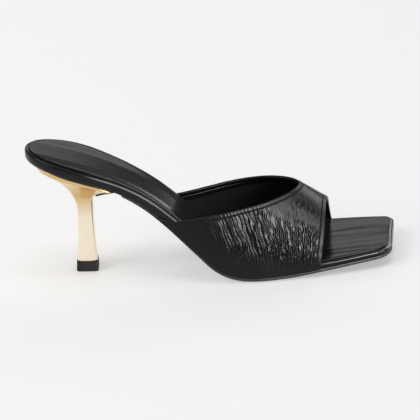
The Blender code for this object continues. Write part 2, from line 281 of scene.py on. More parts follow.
# %% Ring helpers
def lifted(rings, columns=0):
    """Closed bmesh through rings of (x, y, z), with the ends bridged from side to side."""
    bm = bmesh.new()
    count = len(rings[0])
    place = bm.verts.layers.int.new("place")
    verts = bmesh.ops.create_circle(bm, segments=count, radius=1.0)["verts"]
    for i, vert in enumerate(verts):
        vert[place] = i
    edges = list(bm.edges)
    ends = []
    for n, ring in enumerate(rings):
        if n:
            made = bmesh.ops.extrude_edge_only(bm, edges=edges)["geom"]
            verts = [item for item in made if isinstance(item, bmesh.types.BMVert)]
            new = set(verts)
            grown = [item for item in made if isinstance(item, bmesh.types.BMEdge)]
            edges = [edge for edge in grown if new.issuperset(edge.verts)]
        for vert in verts:
            vert.co = placed(*ring[vert[place]])
        if n in (0, len(rings) - 1):
            ends.append(list(edges))
    half = count // 2

    def crosses(edge):
        return (edge.verts[0][place] < half) != (edge.verts[1][place] < half)

    for loop in ends:
        faces = bmesh.ops.bridge_loops(bm, edges=[e for e in loop if not crosses(e)])["faces"]
        if columns:
            rungs = dict.fromkeys(e for f in faces for e in f.edges if crosses(e))
            bmesh.ops.subdivide_edges(bm, edges=list(rungs), cuts=columns, use_grid_fill=True)
    bmesh.ops.recalc_face_normals(bm, faces=bm.faces)
    return bm


def finished(bm, name, node, slot, *materials):
    """Turns the bmesh into a smooth-shaded piece that rides on the shoe."""
    mesh = bpy.data.meshes.new(name)
    bm.to_mesh(mesh)
    bm.free()
    mesh.shade_smooth()
    piece = bpy.data.objects.new(name, mesh)
    bpy.context.collection.objects.link(piece)
    for material in materials:
        mesh.materials.append(material)
    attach(piece, "root")
    if node:
        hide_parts(node)
    print(name, len(mesh.polygons), "faces")


# %% [markdown]
# ## Effects that several finishes share
# Patent leather, satin sock, sole and rubber all show a fine grain, each at its own scale. Instead of
# building it again in every material, one node group makes it and each material gives its own values.
# A few helpers come first, because a node and its links take many lines when they are written out.

# %% Node group helpers
def group_of(name, inputs, outputs):
    group = bpy.data.node_groups.new(name, "ShaderNodeTree")
    for title, kind, value in inputs:
        socket = group.interface.new_socket(title, in_out="INPUT", socket_type=kind)
        if value is not None:
            socket.default_value = value
    for title, kind in outputs:
        group.interface.new_socket(title, in_out="OUTPUT", socket_type=kind)
    return group, group.nodes.new("NodeGroupInput"), group.nodes.new("NodeGroupOutput")


def node(tree, kind, links=(), **values):
    """A node with its properties and sockets set: a socket takes a value or another node's output."""
    made = tree.nodes.new(kind)
    for title, value in values.items():
        setattr(made, title, value)
    for title, value in dict(links).items():
        if isinstance(value, bpy.types.NodeSocket):
            tree.links.new(value, made.inputs[title])
        else:
            made.inputs[title].default_value = value
    return made


def math_of(tree, operation, first, second=0.0):
    return node(tree, "ShaderNodeMath", {0: first, 1: second}, operation=operation).outputs[0]


def ramp(tree, value, start, end, low=0.0, high=1.0, **values):
    """A value carried from the span start to end over to low to high, and held at both ends."""
    links = {"Value": value, "From Min": start, "From Max": end, "To Min": low, "To Max": high}
    return node(tree, "ShaderNodeMapRange", links, **values).outputs[0]


def part_of(tree, vector, axis):
    return node(tree, "ShaderNodeSeparateXYZ", {0: vector}).outputs[axis]


# %% Fine grain
CLOUD_SHARE = 0.08
GRAIN, enter, leave = group_of(
    "fine_grain",
    (("Vector", "NodeSocketVector", None), ("Scale", "NodeSocketFloat", 900.0)),
    (("Height", "NodeSocketFloat"), ("Cloud", "NodeSocketFloat")),
)
pebble = node(
    GRAIN,
    "ShaderNodeTexVoronoi",
    {"Vector": enter.outputs["Vector"], "Scale": enter.outputs["Scale"], "Randomness": 0.9},
    feature="SMOOTH_F1",
)
cloud = node(
    GRAIN,
    "ShaderNodeTexNoise",
    {
        "Vector": enter.outputs["Vector"],
        "Scale": math_of(GRAIN, "MULTIPLY", enter.outputs["Scale"], CLOUD_SHARE),
        "Detail": 3.0,
    },
)
GRAIN.links.new(math_of(GRAIN, "SUBTRACT", 1.0, pebble.outputs["Distance"]), leave.inputs["Height"])
GRAIN.links.new(cloud.outputs["Fac"], leave.inputs["Cloud"])
print("group:", GRAIN.name)

# %% [markdown]
# The vamp's leather is crinkled: rows of short ridges, two to three millimetres apart, that wander, fade and
# start again. A cell texture gives pebbles and a plain noise gives blots, so the ridges are a sine wave
# whose phase is pushed about by one noise and whose height is faded by another.

# %% Crinkle
RIDGE_PITCH, RIDGE_WANDER, RIDGE_RISE, FAINTEST_RIDGE, SWELL_RISE = 0.0025, 9.5, 0.19, 0.35, 0.12
Cell = namedtuple("Cell", "across along detail")
WANDER_CELL = Cell(across=0.0048, along=0.0062, detail=1.0)
FADE_CELL = Cell(across=0.0028, along=0.0044, detail=0.0)
SWELL_CELL = Cell(across=0.006, along=0.01, detail=1.0)
CRINKLE, enter, leave = group_of(
    "crinkle",
    (("Vector", "NodeSocketVector", None), ("Amount", "NodeSocketFloat", 1.0)),
    (("Height", "NodeSocketFloat"), ("Crease", "NodeSocketFloat")),
)


def drawn_noise(cell):
    """Noise about zero, with cells of a given length across and along the ridges."""
    drawn = node(
        CRINKLE,
        "ShaderNodeVectorMath",
        {0: enter.outputs["Vector"], 1: (1 / cell.across, 1 / cell.along, 1.0)},
        operation="MULTIPLY",
    )
    links = {"Vector": drawn.outputs[0], "Scale": 1.0, "Detail": cell.detail}
    return math_of(CRINKLE, "SUBTRACT", node(CRINKLE, "ShaderNodeTexNoise", links).outputs["Fac"], 0.5)


run = part_of(CRINKLE, enter.outputs["Vector"], "X")
phase = math_of(CRINKLE, "MULTIPLY", run, 2 * math.pi / RIDGE_PITCH)
wander = math_of(CRINKLE, "MULTIPLY", drawn_noise(WANDER_CELL), RIDGE_WANDER)
ridge = math_of(CRINKLE, "SINE", math_of(CRINKLE, "ADD", phase, wander))
fade = ramp(CRINKLE, drawn_noise(FADE_CELL), -0.14, 0.06, FAINTEST_RIDGE, 1.0)
ridge = math_of(CRINKLE, "MULTIPLY", ridge, fade)
swell = math_of(CRINKLE, "MULTIPLY", drawn_noise(SWELL_CELL), SWELL_RISE)
lift = math_of(CRINKLE, "ADD", math_of(CRINKLE, "MULTIPLY", ridge, RIDGE_RISE), swell)
hollow = ramp(CRINKLE, ridge, 0.2, -1.0)
for value, title in ((lift, "Height"), (hollow, "Crease")):
    shown = math_of(CRINKLE, "MULTIPLY", value, enter.outputs["Amount"])
    CRINKLE.links.new(shown, leave.inputs[title])
print("group:", CRINKLE.name)

# %% [markdown]
# ## Finishes
# Each finish is one Principled shader. Values that are even all over the surface are set on its sockets,
# and only what changes over the surface comes from nodes. Patent leather is nearly black with a clear
# lacquer on top, so most of what is seen in it is the studio.

# %% Material helper
def finish_of(name, color, roughness, **sockets):
    made = bpy.data.materials.new(name)
    made.use_nodes = True
    tree = made.node_tree
    shader = tree.nodes["Principled BSDF"]
    shader.inputs["Base Color"].default_value = (*color, 1.0)
    shader.inputs["Roughness"].default_value = roughness
    for title, value in sockets.items():
        shader.inputs[title.replace("_", " ")].default_value = value
    made.diffuse_color = (*color, 1.0)
    return made, tree, shader


def relief(tree, shader, height, distance):
    bump = node(tree, "ShaderNodeBump", {"Height": height, "Distance": distance, "Strength": 1.0})
    tree.links.new(bump.outputs["Normal"], shader.inputs["Normal"])


def varied(tree, shader, title, value, low, high):
    """Roughness or another value that drifts with a cloud between two ends."""
    tree.links.new(ramp(tree, value, 0.0, 1.0, low, high), shader.inputs[title])


def own_place(tree):
    return node(tree, "ShaderNodeTexCoord").outputs["Object"]


def grained(tree, vector, scale):
    made = node(tree, "ShaderNodeGroup", node_tree=GRAIN)
    tree.links.new(vector, made.inputs["Vector"])
    made.inputs["Scale"].default_value = scale
    return made


# %% [markdown]
# The vamp's patent is drawn over the last, so its ridges lean with the pull: steeply back at the wings and
# nearly upright at the toe. The pattern therefore lies on the flat cut, in a UV map, and is sheared there.
# Two lines are pressed in along the hems, where the stitches will run.

# %% Ridges of the vamp
RIDGE_WAY, SIDE_MIDDLE = 0.0634, 0.022
LEAN_START, LEAN_END, LEAN_BACK, LEAN_FRONT = 0.105, 0.185, 0.95, -0.2
vamp_patent, tree, shader = finish_of(
    "vamp_patent", (0.003, 0.003, 0.0033), 0.16, Specular_IOR_Level=0.2
)
crinkle = node(tree, "ShaderNodeGroup", node_tree=CRINKLE)
flat = node(tree, "ShaderNodeUVMap", uv_map="leather").outputs["UV"]
along, across = part_of(tree, flat, "X"), part_of(tree, flat, "Y")
lean = ramp(tree, along, LEAN_START, LEAN_END, LEAN_BACK, LEAN_FRONT)
from_ridge = math_of(tree, "ABSOLUTE", math_of(tree, "SUBTRACT", across, RIDGE_WAY))
up_side = math_of(tree, "SUBTRACT", RIDGE_WAY - SIDE_MIDDLE, from_ridge)
slanted = math_of(tree, "ADD", along, math_of(tree, "MULTIPLY", up_side, lean))
pulled = node(tree, "ShaderNodeCombineXYZ", {"X": slanted, "Y": across})
tree.links.new(pulled.outputs[0], crinkle.inputs["Vector"])
amount = node(tree, "ShaderNodeAttribute", attribute_name="crinkle").outputs["Fac"]
tree.links.new(amount, crinkle.inputs["Amount"])
print("ridges lean from", LEAN_BACK, "at the wings to", LEAN_FRONT, "at the toe")

# %% Pressed hems of the vamp
HEM_COLLAR, HEM_FRONT, HEM_WIDTH = 2.2, 2.6, 0.7
seams = 0.0
for title, hem in (("from_collar", HEM_COLLAR), ("from_front", HEM_FRONT)):
    way = node(tree, "ShaderNodeAttribute", attribute_name=title).outputs["Fac"]
    off = math_of(tree, "ABSOLUTE", math_of(tree, "SUBTRACT", way, hem))
    groove = ramp(tree, off, 0.0, HEM_WIDTH, 1.0, 0.0, interpolation_type="SMOOTHSTEP")
    seams = math_of(tree, "ADD", seams, groove)
print("hems at", HEM_COLLAR, "and", HEM_FRONT, "mm")

# %% Height and gloss of the vamp
VAMP_RELIEF, SEAM_DEPTH, PORE_RISE, CLOUD_RISE = 0.0014, 0.4, 0.03, 0.14
FULL_CRINKLE, PLAIN_ROUGH, CRINKLE_ROUGH, CREASE_ROUGH = 0.8, 0.36, 0.1, 0.1
skin = grained(tree, own_place(tree), 1500.0)
height = math_of(tree, "SUBTRACT", crinkle.outputs["Height"], math_of(tree, "MULTIPLY", seams, SEAM_DEPTH))
for title, rise in (("Height", PORE_RISE), ("Cloud", CLOUD_RISE)):
    height = math_of(tree, "ADD", height, math_of(tree, "MULTIPLY", skin.outputs[title], rise))
relief(tree, shader, height, VAMP_RELIEF)
gloss = ramp(tree, amount, 0.0, FULL_CRINKLE, PLAIN_ROUGH, CRINKLE_ROUGH)
dulled = math_of(tree, "MULTIPLY", crinkle.outputs["Crease"], CREASE_ROUGH)
tree.links.new(math_of(tree, "ADD", gloss, dulled), shader.inputs["Roughness"])
print("finish:", vamp_patent.name)

# %% [markdown]
# The insole's wrap is the same patent pulled smooth. Its lacquer is thick on the rounded upper edge, most of
# all at the toe, and thin on the side, so a clear coat is laid on by how far a place faces up and forward.

# %% Smooth patent of the wrapped insole
FACING_FROM, FACING_TO, WET_START, WET_END, THINNEST_COAT = 0.3, 0.7, 0.03, 0.06, 0.1
band_patent, tree, shader = finish_of(
    "band_patent", (0.005, 0.005, 0.0055), 0.2, Specular_IOR_Level=0.17, Coat_Roughness=0.08
)
skin = grained(tree, own_place(tree), 700.0)
relief(tree, shader, skin.outputs["Cloud"], 0.0002)
varied(tree, shader, "Roughness", skin.outputs["Cloud"], 0.16, 0.3)
facing = part_of(tree, node(tree, "ShaderNodeTexCoord").outputs["Normal"], "Z")
wetness = ramp(tree, part_of(tree, own_place(tree), "X"), WET_START, WET_END, THINNEST_COAT, 1.0)
lacquer = ramp(tree, facing, FACING_FROM, FACING_TO, THINNEST_COAT, wetness)
tree.links.new(lacquer, shader.inputs["Coat Weight"])
print("finish:", band_patent.name)

# %% [markdown]
# The sock is a thin satin leather. It is stretched along the shoe, so light breaks into long soft streaks,
# which are a noise drawn out along x, and the streaks are strongest at the open toe.

# %% Satin of the sock
STREAK, STREAK_START, STREAK_END, STREAK_TOE = (12.0, 95.0, 12.0), 0.0, 0.06, 12.0
sock_satin, tree, shader = finish_of(
    "sock_satin", (0.006, 0.006, 0.0064), 0.22, Specular_IOR_Level=0.155
)
where = own_place(tree)
skin = grained(tree, where, 1400.0)
pulled = node(tree, "ShaderNodeVectorMath", {0: where, 1: STREAK}, operation="MULTIPLY")
streak = node(tree, "ShaderNodeTexNoise", {"Vector": pulled.outputs[0], "Scale": 1.0, "Detail": 1.0})
strength = ramp(tree, part_of(tree, where, "X"), STREAK_START, STREAK_END, 1.0, STREAK_TOE)
streaks = math_of(tree, "MULTIPLY", streak.outputs["Fac"], strength)
relief(tree, shader, math_of(tree, "ADD", skin.outputs["Height"], streaks), 0.00006)
varied(tree, shader, "Roughness", skin.outputs["Cloud"], 0.1, 0.18)
print("finish:", sock_satin.name)

# %% [markdown]
# Lining, outsole, top piece and thread are plain blacks that differ in grain and gloss. They are built alike,
# so a table holds what differs.

# %% Lining, outsole, top piece and thread
Plain = namedtuple("Plain", "color specular grain depth smoothest dullest")
PLAINS = {
    "lining_black": Plain((0.006, 0.006, 0.006), 0.3, 1200.0, 0.00008, 0.45, 0.6),
    "outsole_black": Plain((0.02, 0.02, 0.0205), 0.5, 900.0, 0.0001, 0.38, 0.55),
    "lift_rubber": Plain((0.009, 0.009, 0.0095), 0.3, 1600.0, 0.00006, 0.52, 0.68),
    "thread_black": Plain((0.01, 0.01, 0.0105), 0.4, 3000.0, 0.00005, 0.5, 0.5),
}
blacks = {}
for name, row in PLAINS.items():
    middling = (row.smoothest + row.dullest) / 2
    blacks[name], tree, shader = finish_of(name, row.color, middling, Specular_IOR_Level=row.specular)
    skin = grained(tree, own_place(tree), row.grain)
    relief(tree, shader, skin.outputs["Height"], row.depth)
    if row.smoothest < row.dullest:
        varied(tree, shader, "Roughness", skin.outputs["Cloud"], row.smoothest, row.dullest)
print("finishes:", ", ".join(blacks))

# %% [markdown]
# The heel is plated with pale gold. Its colour runs with the height from a paler stem, a painted highlight,
# to a deeper flare, painted shade, over a polish that is not quite even.

# %% Gold plating
heel_gold, tree, shader = finish_of("heel_gold", (0.9, 0.76, 0.5), 0.16, Metallic=1.0)
where = own_place(tree)
skin = grained(tree, where, 300.0)
relief(tree, shader, skin.outputs["Cloud"], 0.00004)
varied(tree, shader, "Roughness", skin.outputs["Cloud"], 0.18, 0.28)
# The stem's paler gold is a painted highlight and the flare's deeper gold is painted shade, blended by
# height.
STEM_TOP, FLARE_TOP = 0.036, 0.052
STEM_PAINTED_SHEEN_GOLD, FLARE_PAINTED_SHADE_GOLD = (0.97, 0.86, 0.68), (0.72, 0.5, 0.22)
# The vector sockets share their names with the value sockets, so they are set by number.
span = {7: (STEM_TOP,) * 3, 8: (FLARE_TOP,) * 3, 9: STEM_PAINTED_SHEEN_GOLD, 10: FLARE_PAINTED_SHADE_GOLD}
links = {"Vector": part_of(tree, where, "Z"), **span}
painted_sheen_and_shade = node(tree, "ShaderNodeMapRange", links, data_type="FLOAT_VECTOR")
tree.links.new(painted_sheen_and_shade.outputs["Vector"], shader.inputs["Base Color"])
print("materials:", len(bpy.data.materials))

# %% [markdown]
# ## Insole and sock
# The insole board is wrapped in the same patent as the vamp, so its edge is round and glossy. A bevel would
# give one radius all along, but the board is thick at the heel and thin at the toe. So a table says how far
# each ring is set in and at what share of the thickness it lies.

# %% Wrapped insole
Edge = namedtuple("Edge", "inset share")
BAND_EDGE = (
    Edge(inset=2.0, share=0.0),
    Edge(inset=1.2, share=0.03),
    Edge(inset=0.6, share=0.09),
    Edge(inset=0.25, share=0.18),
    Edge(inset=0.05, share=0.32),
    Edge(inset=0.0, share=0.5),
    Edge(inset=0.03, share=0.66),
    Edge(inset=0.14, share=0.78),
    Edge(inset=0.38, share=0.88),
    Edge(inset=0.75, share=0.955),
    Edge(inset=1.2, share=0.99),
    Edge(inset=1.8, share=1.0),
)


def insole_under(x):
    return -smooth(LAYERS, x, "insole")


def layer_rings(loop, edges, bottom, top):
    """Rings round a layer whose underside and top lie at heights off the bed."""
    rings = []
    for inset, share in edges:
        ring = set_in(loop, inset)
        rings.append([(x, y, level(x, between(bottom(x), top(x), share))) for x, y in ring])
    return rings


band = lifted(layer_rings(PLAN, BAND_EDGE, insole_under, lambda x: 0.0))
finished(band, "insole_band", "insole", "band_patent", band_patent)

# %% [markdown]
# The sock is glued on top, set in from the edge. It is dished where the foot presses it, least at the toe.
# Its top is cut into columns first, so that there are vertices to press down.

# %% Sock lining
SOCK_INSET, SOCK_TOP, SOCK_DISH, SOCK_COLUMNS, TOP_FACE = 2.4, 1.2, 1.0, 40, 0.9
DISH_FROM, DISH_TO, DISH_START, DISH_END, DISH_TOE = 0.38, 0.82, 110.0, 150.0, 0.15
SOCK_EDGE = (
    Edge(inset=0.0, share=0.05),
    Edge(inset=0.0, share=0.55),
    Edge(inset=0.12, share=0.8),
    Edge(inset=0.4, share=0.95),
    Edge(inset=0.8, share=1.0),
)
sock_loop = set_in(PLAN, SOCK_INSET)
sock = lifted(layer_rings(sock_loop, SOCK_EDGE, lambda x: 0.0, lambda x: SOCK_TOP), SOCK_COLUMNS)
for vert in sock.verts:
    x, y, z = on_last(vert.co)
    lateral, medial = (smooth(OUTLINE, x, column) for column in ("lateral", "medial"))
    across = (2 * y + lateral - medial) / (lateral + medial)
    if z - level(x, 0.0) > TOP_FACE * SOCK_TOP:
        dish = SOCK_DISH * between(1.0, DISH_TOE, ease((x - DISH_START) / (DISH_END - DISH_START)))
        vert.co.z -= dish * (1 - ease((abs(across) - DISH_FROM) / (DISH_TO - DISH_FROM))) * MM
finished(sock, "sock", "sock_lining", "sock_satin", sock_satin)

# %% [markdown]
# ## Outsole
# The outsole is a thin black sheet that follows the underside of the insole, stands out a little at the
# ball, and ends in a tongue that laps over the front of the heel. It could be two pieces, but one outline
# that bends down the heel's front leaves no seam where they would meet.

# %% Front of the heel
GAP = 0.3
SEAT_FRONT, NECK_FRONT_Z, NECK_FRONT, FLARE_POWER = 57.5, 48.0, 41.3, 2.2
BREAST_STEP = 0.001


def seat_z(x):
    return level(x, insole_under(x) - GAP)


def breast(t):
    """Point on the heel's front in the side view, t from the neck (0) to the seat (1)."""
    x = between(NECK_FRONT, SEAT_FRONT, t**FLARE_POWER)
    return x, between(NECK_FRONT_Z, seat_z(SEAT_FRONT), t)


def off_breast(t, away):
    ax, az = breast(t - BREAST_STEP)
    bx, bz = breast(t)
    size = math.hypot(bx - ax, bz - az)
    return bx + (bz - az) / size * away, bz - (bx - ax) / size * away


print("seat of the heel at", round(seat_z(SEAT_FRONT), 1), "mm")

# %% Outsole with its tongue
TONGUE_THICK, TONGUE_SHARE, TONGUE_LONG, TONGUE_HALF = 1.3, 0.68, 16.0, 4.5
TONGUE_STEPS, TONGUE_OVER, TONGUE_SHOULDER, SOLE_START = 24, 0.9, 15.5, 59.5
OUTSOLE_EDGE = (
    Edge(inset=0.9, share=0.0),
    Edge(inset=0.45, share=0.08),
    Edge(inset=0.12, share=0.22),
    Edge(inset=0.0, share=0.42),
    Edge(inset=0.0, share=0.85),
    Edge(inset=0.25, share=0.97),
    Edge(inset=0.6, share=1.0),
)


def outsole_point(x, y, share):
    under = insole_under(x) - GAP
    if x >= SEAT_FRONT:
        return x, y, level(x, under - smooth(LAYERS, x, "outsole") * (1 - share))
    t = 1 - TONGUE_SHARE * (SEAT_FRONT - x) / TONGUE_LONG
    along, z = off_breast(t, GAP + TONGUE_THICK * (1 - share))
    return along, y, z


wide = set_in(PLAN, lambda x: -smooth(LAYERS, x, "margin"))
full = len(STATIONS)
skip = sum(1 for s in STATIONS if s <= SOLE_START)
tongue = []
for step in range(TONGUE_STEPS + 1):
    share = step / TONGUE_STEPS
    x = between(SEAT_FRONT - TONGUE_LONG, SEAT_FRONT + TONGUE_OVER, share)
    tongue.append((x, between(TONGUE_HALF, TONGUE_SHOULDER, share)))
sole_loop = [(x, -y) for x, y in tongue] + wide[skip : 2 * full - skip] + tongue[::-1]
sole_rings = []
for inset, share in OUTSOLE_EDGE:
    sole_rings.append([outsole_point(x, y, share) for x, y in set_in(sole_loop, inset)])
finished(lifted(sole_rings), "outsole_sheet", "outsole", "outsole_black", blacks["outsole_black"])

# %% [markdown]
# ## Heel and top piece
# The heel is moulded, then plated: a slim stem with flat sides that flares into the seat. Every ring is a
# rounded rectangle that turns into the round seat on the way up. A bevelled box would keep flat sides, but
# not the flare, so the outline of each ring is drawn and lifted.

# %% Outlines of the heel
HEEL_MIDDLE, SEAT_BACK, SEAT_HALF, RIM_SHARE = 36.0, 6.5, 25.2, 0.92
SEAT_BACK_POWER, SEAT_FRONT_POWER, NECK_BACK_Z, RIM_SUPPORT = 2.2, 5.0, 39.0, 0.995
HEEL_POINTS, STEM_STEPS, FLARE_STEPS, TOP_PIECE_HIGH, LIFT_GAP = 56, 16, 36, 6.6, 0.05
Stem = namedtuple("Stem", "z back front half power")
STEM = (
    Stem(z=TOP_PIECE_HIGH + LIFT_GAP, back=30.2, front=43.4, half=6.4, power=5.0),
    Stem(z=20.0, back=31.2, front=42.4, half=6.1, power=5.0),
    Stem(z=NECK_BACK_Z, back=31.5, front=41.3, half=6.0, power=5.0),
)


def heel_loop(back, front, half, power, back_power):
    loop = []
    for side in (-1, 1):
        half_loop = []
        for i in range(HEEL_POINTS):
            angle = math.pi * (1 - (i + 0.5) / HEEL_POINTS)
            c, s = math.cos(angle), math.sin(angle)
            used = back_power if c < 0 else power
            along = (front - HEEL_MIDDLE) if c > 0 else (HEEL_MIDDLE - back)
            x = HEEL_MIDDLE + math.copysign(abs(c) ** (2 / used), c) * along
            half_loop.append((x, side * half * s ** (2 / used)))
        loop += half_loop if side < 0 else half_loop[::-1]
    return loop


foot, neck_row = STEM[0], STEM[-1]
neck = heel_loop(neck_row.back, neck_row.front, neck_row.half, neck_row.power, neck_row.power)
seat = heel_loop(SEAT_BACK, SEAT_FRONT, SEAT_HALF, SEAT_FRONT_POWER, SEAT_BACK_POWER)
print("heel outlines:", len(neck), "points")

# %% Plated heel
heel_rings = []
for step in range(STEM_STEPS):
    z = between(foot.z, NECK_BACK_Z, step / STEM_STEPS)
    back, front, half, power = (smooth(STEM, z, column) for column in ("back", "front", "half", "power"))
    loop = heel_loop(back, front, half, power, power)
    heel_rings.append([(x, y, z) for x, y in loop])
for up in [step / FLARE_STEPS for step in range(FLARE_STEPS)] + [RIM_SUPPORT, 1.0]:
    ring = []
    for (nx, ny), (sx, sy) in zip(neck, seat):
        forward = (nx - neck_row.back) / (neck_row.front - neck_row.back)
        z = between(between(NECK_BACK_Z, NECK_FRONT_Z, forward), seat_z(sx), up)
        out = min(up / between(RIM_SHARE, 1.0, forward**2), 1.0) ** FLARE_POWER
        ring.append((between(nx, sx, out), between(ny, sy, out), z))
    heel_rings.append(ring)
finished(lifted(heel_rings), "plated_heel", "heel", "heel_gold", heel_gold)

# %% [markdown]
# The rubber top piece takes the wear and is changed when it is worn, so it is a separate block. It has the
# outline of the stem's foot, and its edges are soft because rubber is moulded.

# %% Rubber top piece
Lift = namedtuple("Lift", "z grow")
TOP_PIECE_POWER = 8.0
TOP_PIECE = (
    Lift(z=0.0, grow=-0.15),
    Lift(z=0.1, grow=0.15),
    Lift(z=0.3, grow=0.36),
    Lift(z=0.6, grow=0.4),
    Lift(z=3.5, grow=0.3),
    Lift(z=TOP_PIECE_HIGH - 0.25, grow=0.21),
    Lift(z=TOP_PIECE_HIGH - 0.06, grow=0.15),
    Lift(z=TOP_PIECE_HIGH, grow=-0.1),
)
lift_rings = []
for z, grow in TOP_PIECE:
    loop = heel_loop(foot.back - grow, foot.front + grow, foot.half + grow, TOP_PIECE_POWER, TOP_PIECE_POWER)
    lift_rings.append([(x, y, z) for x, y in loop])
finished(lifted(lift_rings), "rubber_top_piece", "top_piece", "lift_rubber", blacks["lift_rubber"])

# %% [markdown]
# ## The vamp
# The vamp is one cut of leather pulled over the last. A flat grid stands for the cut: its rows run from
# the collar to the toe opening and its columns from the outer foot over the ridge to the inner foot. Each
# vertex is laid on the last's section. A copy of the grid, moved in by the wall, is the lining, and the
# two are bridged with a rounded fold at the edges.

# %% Sections of the last
WALL, WALL_GAP, TUCK, TUCK_HEIGHT, TUCK_START, TUCK_END = 1.8, 0.5, 0.9, 5.0, 92.0, 125.0
ARCH_POWER = 1.65
THROAT_X, THROAT_Z, COLLAR_SLOPE, TAIL_X, TAIL_RISE = 173.0, 50.4, math.radians(7.9), 96.0, 0.024
WING_START, FRONT_LATERAL, FRONT_MEDIAL = 82.0, 182.6, 199.0
PARED, PARE_LONG = 0.4, 22.0


def wall_at(x):
    """Thickness of the leather, pared thin towards the ends of the wings."""
    return WALL * between(PARED, 1.0, ease((x - WING_START) / PARE_LONG))


def collar_z(x):
    line = THROAT_Z - (THROAT_X - x) * math.tan(COLLAR_SLOPE)
    return line + TAIL_RISE * max(TAIL_X - x, 0.0) ** 2


def vamp_foot(x):
    return level(x, insole_under(x))


def collar_angle(x):
    foot_z = vamp_foot(x)
    high = (collar_z(x) - foot_z) / (smooth(SECTIONS, x, "ridge_z") - foot_z)
    return math.asin(min(max(high, 0.0), 1.0) ** (ARCH_POWER / 2))


def vamp_point(x, angle):
    """Point of the vamp's face: angle 0 at the lateral foot, 180 degrees at the medial."""
    foot_z = vamp_foot(x)
    ridge_y = smooth(SECTIONS, x, "ridge_y")
    power = 2 / ARCH_POWER
    tuck = TUCK * ease((x - TUCK_START) / (TUCK_END - TUCK_START))
    stand = WALL_GAP + wall_at(x) + tuck
    c, s = math.cos(angle), math.sin(angle)
    if c > 0:
        reach = -(ridge_y + smooth(OUTLINE, x, "lateral") + stand)
    else:
        reach = smooth(OUTLINE, x, "medial") + stand - ridge_y
    z = foot_z + (smooth(SECTIONS, x, "ridge_z") - foot_z) * max(s, 0.0) ** power
    tuck *= 1 - ease((z - foot_z) / TUCK_HEIGHT)
    return x, ridge_y + (reach - math.copysign(tuck, reach)) * abs(c) ** power, z


print("leather:", WALL, "mm, pared to", round(wall_at(WING_START), 2), "mm at the ends of the wings")

# %% [markdown]
# The collar runs from the end of one wing over the throat to the end of the other. It is steep at the wings
# and flat at the throat, so it is walked in small steps first and then cut into columns of equal length.

# %% Collar line, evenly walked
HALF_COLUMNS, ROWS, WALK, VAMP_RADIUS = 128, 144, 1500, 34.0
walk, way = [], [0.0]
for i in range(WALK + 1):
    x = between(WING_START, THROAT_X, math.sin(math.pi / 2 * i / WALK))
    walk.append((x, collar_angle(x) if i else 0.0))
    if i:
        way.append(way[-1] + math.hypot(x - walk[-2][0], VAMP_RADIUS * (walk[-1][1] - walk[-2][1])))
collar = []
for i in range(HALF_COLUMNS + 1):
    k = min(bisect_right(way, way[-1] * i / HALF_COLUMNS), WALK) if i < HALF_COLUMNS else WALK
    collar.append(walk[k] if i else walk[0])
collar += [(x, math.pi - angle) for x, angle in reversed(collar[:-1])]
COLUMNS = len(collar) - 1

GIRTH_X, GIRTH_STEPS = 176.0, 180
girth = [0.0]
for i in range(GIRTH_STEPS):
    a = Vector(vamp_point(GIRTH_X, math.pi * i / GIRTH_STEPS))
    b = Vector(vamp_point(GIRTH_X, math.pi * (i + 1) / GIRTH_STEPS))
    girth.append(girth[-1] + (b - a).length)


def around(angle):
    """Length round the vamp from the lateral foot to an angle."""
    at = min(max(angle / math.pi, 0.0), 1.0) * GIRTH_STEPS
    i = min(int(at), GIRTH_STEPS - 1)
    return between(girth[i], girth[i + 1], at - i)


print("vamp:", COLUMNS, "columns,", ROWS, "rows,", round(girth[-1]), "mm round")

# %% [markdown]
# Now the flat grid is laid on the last. Each vertex keeps its place on the flat cut in two layers, because
# the crinkle and the creases are drawn there, as they would be on a cut of leather.

# %% Lay the cut on the last
RIDGE_NEAR = 2.0
vamp = bmesh.new()
bmesh.ops.create_grid(vamp, x_segments=ROWS, y_segments=COLUMNS, size=0.5)
place, flat_x, flat_y, from_collar, from_front, crinkle_at = (
    vamp.verts.layers.float.new(title)
    for title in ("place", "flat_x", "flat_y", "from_collar", "from_front", "crinkle")
)
net = {}
for vert in vamp.verts:
    row = round((vert.co.x + 0.5) * ROWS)
    column = round((vert.co.y + 0.5) * COLUMNS)
    start, angle = collar[column]
    x = between(start, between(FRONT_LATERAL, FRONT_MEDIAL, angle / math.pi), row / ROWS)
    vert[flat_x], vert[flat_y] = x, around(angle)
    net[column, row] = vert
    vert.co = placed(*vamp_point(x, angle))
vamp.normal_update()
top = next(v for v in vamp.verts if abs(v[flat_y] - girth[-1] / 2) < RIDGE_NEAR)
if top.normal.z < 0:
    bmesh.ops.reverse_faces(vamp, faces=vamp.faces)
    vamp.normal_update()
print("vamp face:", len(vamp.faces), "faces")

# %% [markdown]
# Collar and toe opening are traced once more as fine lines, and every vertex learns how far it lies from
# each. The finish uses these lengths to press in the stitch lines, and the stitches follow them.

# %% Distances from the two hems
collar_line = [placed(*vamp_point(x, angle)) for x, angle in collar]
front_line = []
for x, angle in collar:
    front_line.append(placed(*vamp_point(between(FRONT_LATERAL, FRONT_MEDIAL, angle / math.pi), angle)))


def tree_of(line):
    """A search tree over a line, with points every fifth of a millimetre."""
    points = []
    for a, b in zip(line, line[1:]):
        steps = max(1, round((b - a).length / (0.2 * MM)))
        points += [a.lerp(b, i / steps) for i in range(steps)]
    found = KDTree(len(points))
    for i, point in enumerate(points):
        found.insert(point, i)
    found.balance()
    return found


collar_tree, front_tree = tree_of(collar_line), tree_of(front_line)
for vert in vamp.verts:
    vert[from_collar] = collar_tree.find(vert.co)[2] / MM
    vert[from_front] = front_tree.find(vert.co)[2] / MM


def seam_line(way, hem, rows):
    """Where the cut lies a hem's width from an edge, found column by column."""
    line = []
    for column in range(COLUMNS + 1):
        for row, after in zip(rows, rows[1:]):
            a, b = net[column, row], net[column, after]
            if a[way] <= hem < b[way]:
                share = (hem - a[way]) / (b[way] - a[way])
                line.append((a.co.lerp(b.co, share), a.normal.lerp(b.normal, share)))
                break
    return line


